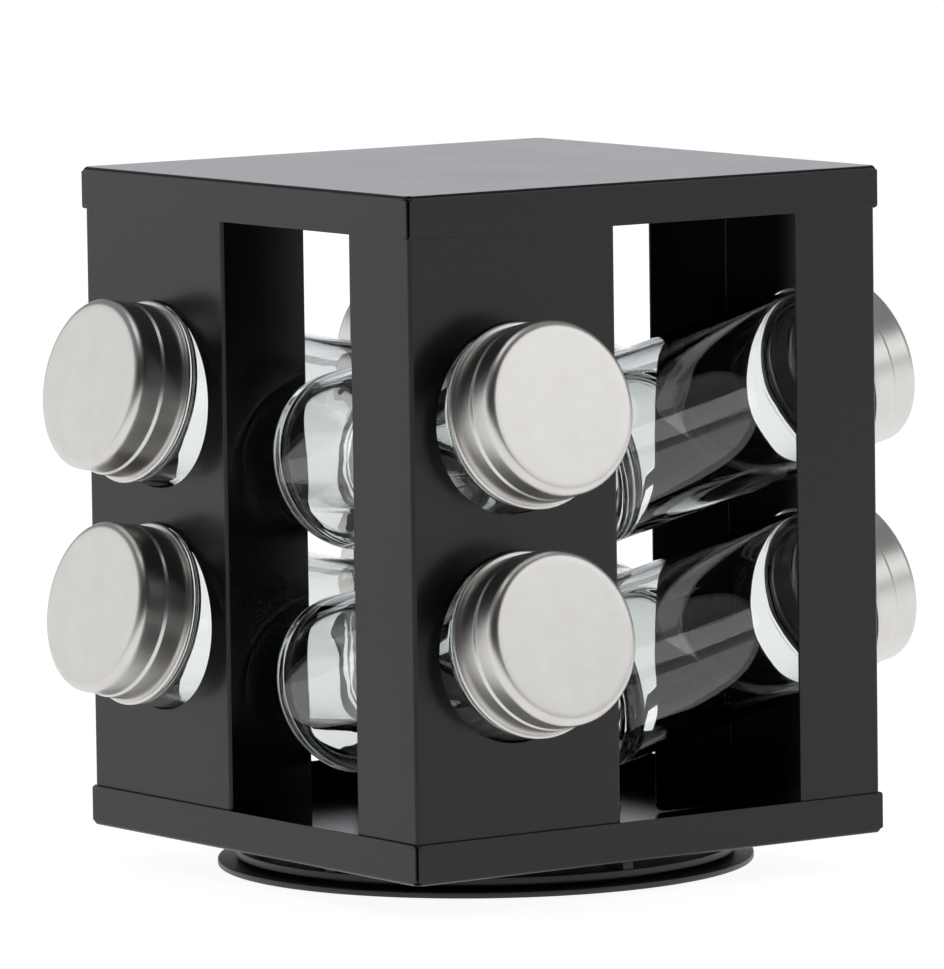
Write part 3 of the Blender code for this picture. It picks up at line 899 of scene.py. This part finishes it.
def turntable_top_mesh():
    """The plate's outline carried round; over a spacer, the rim's top stands up to just under the
    tray."""
    angles, middles, half = spacer_angles()
    grid = turned(top_outline(), angles, Matrix.Identity(4))
    away = np.abs((angles[:, None] - middles[None, :] + math.pi) % math.tau - math.pi).min(axis=1)
    raised = (away <= half + 1e-6)[None, :]
    radius = np.hypot(grid[..., 0], grid[..., 1])
    on_rim = (radius > 62.3 * MM) & (radius < 65.6 * MM) & (grid[..., 2] > TOP_FACE - 0.05 * MM)
    grid[..., 2] += (raised & on_rim) * (top_high.z - TOP_FACE)
    mesh = mesh_of_grids("turntable_plate", [grid], around=True)
    keep_own_place(mesh, Matrix.Identity(4))
    return mesh


top_mesh = turntable_top_mesh()
make_piece("turntable_plate", top_mesh, black_abs, "rack", "turntable_top")
print("plate points:", len(top_mesh.vertices))

# %% [markdown]
# ## The pieces that stay as solids
# The ball cage, balls, feet, liners, screws and washer already have their true shape, so they keep
# their own meshes and only get their finishes.

# %% Finishes for the other solids
kept = {
    "ball_cage": nylon,
    "bearing_ball": ball_steel,
    "cap_liner": foam,
    "rubber_foot": rubber,
    "tray_screw": zinc,
    "pivot": zinc,
}
for name, node in frame["nodes"].items():
    for start, finish in kept.items():
        if name.startswith(start):
            node.data.materials.clear()
            node.data.materials.append(finish)
print("kept solids:", sum(name.startswith(tuple(kept)) for name in frame["nodes"]))

# %% [markdown]
# ## Floor and light
# The carousel stands on a lit table: a sheet of white acrylic that glows from below, so that it
# stays evenly pale and takes only a faint shadow. Black paint shows almost nothing but what it
# reflects, so each soft light stands where one face mirrors it: to the right for the right-hand
# caps, to the left for the left-hand faces. The walls of the studio are pale near the floor and
# darker overhead, which lets the cover's flat top mirror a soft grey. One side of the room is left
# unlit: a fold that turns past it shows as a thin dark line, and the caps get the dark bands that
# make metal look like metal.


# %% Floor
FLOOR_GLOW = 0.92


def make_floor():
    """A flat grid; its glow is a little under full white, and the lights add the rest."""
    material, tree = start_material("lit_white_acrylic")
    cloud = noise(tree, object_place(tree), 400.0)
    tint = blend_colours(tree, cloud, "#a0a0a0", "#a6a6a6")
    glow = {"Emission Color": colour("#ffffff"), "Emission Strength": FLOOR_GLOW}
    end_material(tree, {"Base Color": tint, "Roughness": 0.7, "Specular IOR Level": 0.2, **glow})
    line = np.linspace(-30, 30, 25)
    x, y = np.meshgrid(line, line, indexing="ij")
    mesh = mesh_of_grids("floor", [np.stack([x, y, np.full_like(x, -0.05 * MM)], axis=-1)])
    face_away(mesh, (0, 0, -1))
    mesh.materials.append(material)
    floor = bpy.data.objects.new("floor", mesh)
    bpy.context.scene.collection.objects.link(floor)


make_floor()


# %% Studio walls
UNLIT_SIDE = (0.81, -0.58, 0.1)
UNLIT_FROM = 0.25
UNLIT_FULL = 0.75
LEFT_ON_UNLIT_SIDE = 0.04


def make_studio(near_floor, overhead, fades_by):
    """A world whose brightness falls from near_floor at the horizon to overhead at the height fades_by.
    On the unlit side it falls to almost nothing, by the cosine of the angle to that side."""
    world = bpy.data.worlds.new("studio")
    world.use_nodes = True
    tree = world.node_tree
    tree.nodes.clear()
    direction = add_node(tree, "ShaderNodeTexCoord").outputs["Generated"]
    height = add_node(tree, "ShaderNodeSeparateXYZ", {"Vector": direction}).outputs["Z"]
    strength = spread(tree, height, near_floor, overhead, 0.0, fades_by)
    sides = {0: direction, 1: UNLIT_SIDE}
    toward = add_node(tree, "ShaderNodeVectorMath", sides, operation="DOT_PRODUCT").outputs["Value"]
    lit = spread(tree, toward, 1.0, LEFT_ON_UNLIT_SIDE, UNLIT_FROM, UNLIT_FULL)
    inputs = {"Strength": multiply(tree, strength, lit), "Color": colour("#fbfcff")}
    background = add_node(tree, "ShaderNodeBackground", inputs)
    add_node(tree, "ShaderNodeOutputWorld", {"Surface": background.outputs["Background"]})
    bpy.context.scene.world = world


make_studio(near_floor=0.62, overhead=0.28, fades_by=0.42)
bpy.context.scene.view_settings.view_transform = "Standard"


# %% Soft lights
def add_panel(name, toward, distance, size, radiance, tint="#ffffff", aim_height=0.1):
    """A rectangular soft light that stands in a direction from the rack and faces it. Its power is its
    radiance times its area times pi."""
    light = bpy.data.lights.new(name, "AREA")
    light.shape = "RECTANGLE"
    light.size, light.size_y = size
    light.energy = radiance * size[0] * size[1] * math.pi
    light.color = colour(tint)[:3]
    lamp = bpy.data.objects.new(name, light)
    aim = Vector((0, 0, aim_height))
    lamp.location = aim + Vector(toward).normalized() * distance
    lamp.rotation_euler = (lamp.location - aim).to_track_quat("Z", "Y").to_euler()
    bpy.context.scene.collection.objects.link(lamp)


add_panel("right_panel", (0.78, 0.575, 0.36), 1.8, (1.3, 0.7), 1.16)
add_panel("left_panel", (-0.81, -0.57, 0.17), 1.8, (1.1, 0.6), 0.6)
add_panel("back_panel", (-0.781, 0.618, 0.19), 2.4, (1.6, 0.7), 0.52, "#f2f6ff")
add_panel("overhead_panel", (0.1, -0.2, 1.0), 1.6, (1.0, 1.0), 0.9)

# %% [markdown]
# ## Camera
# A long lens from low down, so that upright edges stay nearly parallel. The camera looks at the
# middle of the steel box from an angle round it and an angle above the floor, and is tipped by less
# than a degree.

# %% Camera
CAMERA_ROUND = math.radians(54.53)
CAMERA_ABOVE = math.radians(6.077)
CAMERA_TIP = math.radians(-0.782)
CAMERA_DISTANCE = 2.488
CAMERA_ASIDE = (2.36 * MM, -3.57 * MM)
LENS_MM = 351.8


def place_camera():
    """The view's back, right and up directions come from the two angles; the tip turns right and up."""
    level = math.cos(CAMERA_ABOVE)
    back = Vector(
        (math.sin(CAMERA_ROUND) * level, -math.cos(CAMERA_ROUND) * level, math.sin(CAMERA_ABOVE))
    )
    right = (-back).cross(Vector((0, 0, 1))).normalized()
    up = right.cross(-back)
    tipped_right = right * math.cos(CAMERA_TIP) + up * math.sin(CAMERA_TIP)
    tipped_up = up * math.cos(CAMERA_TIP) - right * math.sin(CAMERA_TIP)
    target = Vector((0, 0, (tray_low.z + cover_high.z) / 2))
    lens = bpy.data.cameras.new("camera")
    lens.lens = LENS_MM
    lens.clip_end = 100
    camera = bpy.data.objects.new("camera", lens)
    matrix = Matrix((tipped_right, tipped_up, back)).transposed().to_4x4()
    aside, above = CAMERA_ASIDE
    matrix.translation = target + back * CAMERA_DISTANCE - tipped_right * aside - tipped_up * above
    camera.matrix_world = matrix
    bpy.context.scene.collection.objects.link(camera)
    bpy.context.scene.camera = camera


place_camera()
print("camera at", [round(x, 3) for x in bpy.context.scene.camera.matrix_world.translation])
